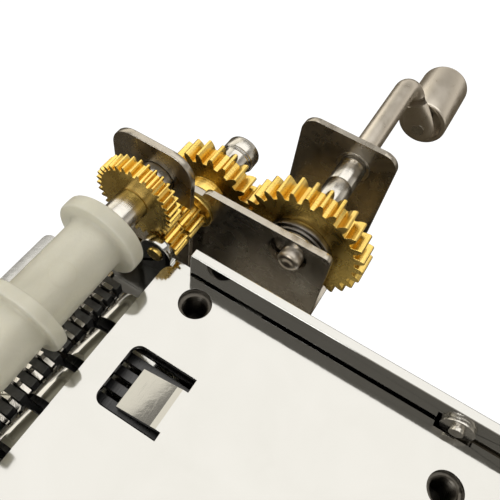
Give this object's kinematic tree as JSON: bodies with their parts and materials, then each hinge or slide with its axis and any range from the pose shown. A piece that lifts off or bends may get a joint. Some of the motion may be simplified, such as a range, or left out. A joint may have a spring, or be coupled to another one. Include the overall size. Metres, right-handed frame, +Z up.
{
  "type": "hand-cranked paper-strip music box movement",
  "caption": "Open metal movement: a side crank drives brass gears and a ribbed plastic roller that draws a punched strip over star wheels and a steel comb, between two raised rails",
  "frame": {"origin": "centre of the four fixing holes, on the underside of the base plate", "axes": "+X along the shafts towards the crank, +Y the way the paper leaves, +Z up"},
  "size_m": [0.1509, 0.0739, 0.0271],
  "materials": {
    "chrome_plate": "bright nickel-chrome plating on pressed sheet steel, mirror smooth",
    "brushed_steel": "plated sheet steel with a fine grain and bright sheared edges",
    "polished_steel": "turned steel, bright",
    "satin_nickel": "satin nickel plating, slightly warm",
    "brass": "hobbed and turned brass, bright teeth",
    "blackened_steel": "dark oxidised steel",
    "comb_steel": "ground and hardened spring steel",
    "milky_plastic": "natural translucent moulded plastic"
  },
  "bodies": {
    "frame": {"base_plate": "chrome_plate", "crank_side_rail": "chrome_plate", "far_side_rail": "chrome_plate", "front_guide_plate": "chrome_plate", "rear_guide_plate": "chrome_plate", "gear_bracket": "brushed_steel", "roller_bracket": "brushed_steel", "end_bracket": "brushed_steel", "outer_bush": "polished_steel", "idler_bush": "brass", "tone_comb": "comb_steel", "comb_block": "brushed_steel", "comb_screws": "polished_steel", "wheel_rack": "blackened_steel", "star_axle": "polished_steel", "roller_bushes": "polished_steel", "deck_posts": "comb_steel", "rail_rivets": "polished_steel", "bracket_rivets": "polished_steel"},
    "crank": {"crank_rod": "satin_nickel", "crank_gear": "brass", "crank_hub": "blackened_steel", "crank_washer": "polished_steel", "crank_spacers": "polished_steel", "grip_rivet": "polished_steel"},
    "grip": {"grip_sleeve": "satin_nickel"},
    "idler": {"idler_pinion": "brass", "idler_gear": "brass", "idler_cap": "polished_steel"},
    "roller": {"roller_shaft": "polished_steel", "paper_roller": "milky_plastic", "roller_gear": "brass", "roller_sleeves": "polished_steel"},
    "stars_01": {"star_wheels_01": "polished_steel"},
    "stars_02": {"star_wheels_02": "polished_steel"},
    "stars_03": {"star_wheels_03": "polished_steel"},
    "stars_04": {"star_wheels_04": "polished_steel"},
    "stars_05": {"star_wheels_05": "polished_steel"},
    "stars_06": {"star_wheels_06": "polished_steel"},
    "stars_07": {"star_wheels_07": "polished_steel"},
    "stars_08": {"star_wheels_08": "polished_steel"},
    "stars_09": {"star_wheels_09": "polished_steel"},
    "stars_10": {"star_wheels_10": "polished_steel"}
  },
  "joints": [
    {"name": "crank_spin", "type": "hinge", "parent": "frame", "child": "crank", "pos_m": [0.05065, 0.00121, 0.01469], "axis": [1, 0, 0], "continuous": true},
    {"name": "grip_spin", "type": "hinge", "parent": "crank", "child": "grip", "pos_m": [0.0993, -0.00359, 0.0066], "axis": [1, 0, 0], "continuous": true},
    {"name": "idler_spin", "type": "hinge", "parent": "frame", "child": "idler", "pos_m": [0.05065, 0.01681, 0.01488], "axis": [1, 0, 0], "continuous": true},
    {"name": "roller_spin", "type": "hinge", "parent": "frame", "child": "roller", "pos_m": [0, 0.0212, 0.0212], "axis": [1, 0, 0], "continuous": true},
    {"name": "star_spin_01", "type": "hinge", "parent": "frame", "child": "stars_01", "pos_m": [0.027, 0.0211, 0.01205], "axis": [1, 0, 0], "continuous": true},
    {"name": "star_spin_02", "type": "hinge", "parent": "frame", "child": "stars_02", "pos_m": [0.021, 0.0211, 0.01205], "axis": [1, 0, 0], "continuous": true},
    {"name": "star_spin_03", "type": "hinge", "parent": "frame", "child": "stars_03", "pos_m": [0.015, 0.0211, 0.01205], "axis": [1, 0, 0], "continuous": true},
    {"name": "star_spin_04", "type": "hinge", "parent": "frame", "child": "stars_04", "pos_m": [0.009, 0.0211, 0.01205], "axis": [1, 0, 0], "continuous": true},
    {"name": "star_spin_05", "type": "hinge", "parent": "frame", "child": "stars_05", "pos_m": [0.003, 0.0211, 0.01205], "axis": [1, 0, 0], "continuous": true},
    {"name": "star_spin_06", "type": "hinge", "parent": "frame", "child": "stars_06", "pos_m": [-0.003, 0.0211, 0.01205], "axis": [1, 0, 0], "continuous": true},
    {"name": "star_spin_07", "type": "hinge", "parent": "frame", "child": "stars_07", "pos_m": [-0.009, 0.0211, 0.01205], "axis": [1, 0, 0], "continuous": true},
    {"name": "star_spin_08", "type": "hinge", "parent": "frame", "child": "stars_08", "pos_m": [-0.015, 0.0211, 0.01205], "axis": [1, 0, 0], "continuous": true},
    {"name": "star_spin_09", "type": "hinge", "parent": "frame", "child": "stars_09", "pos_m": [-0.021, 0.0211, 0.01205], "axis": [1, 0, 0], "continuous": true},
    {"name": "star_spin_10", "type": "hinge", "parent": "frame", "child": "stars_10", "pos_m": [-0.027, 0.0211, 0.01205], "axis": [1, 0, 0], "continuous": true}
  ],
  "couplings": [
    {"joint": "idler_spin", "follows": "crank_spin", "ratio": -1.4},
    {"joint": "roller_spin", "follows": "crank_spin", "ratio": 0.525}
  ]
}
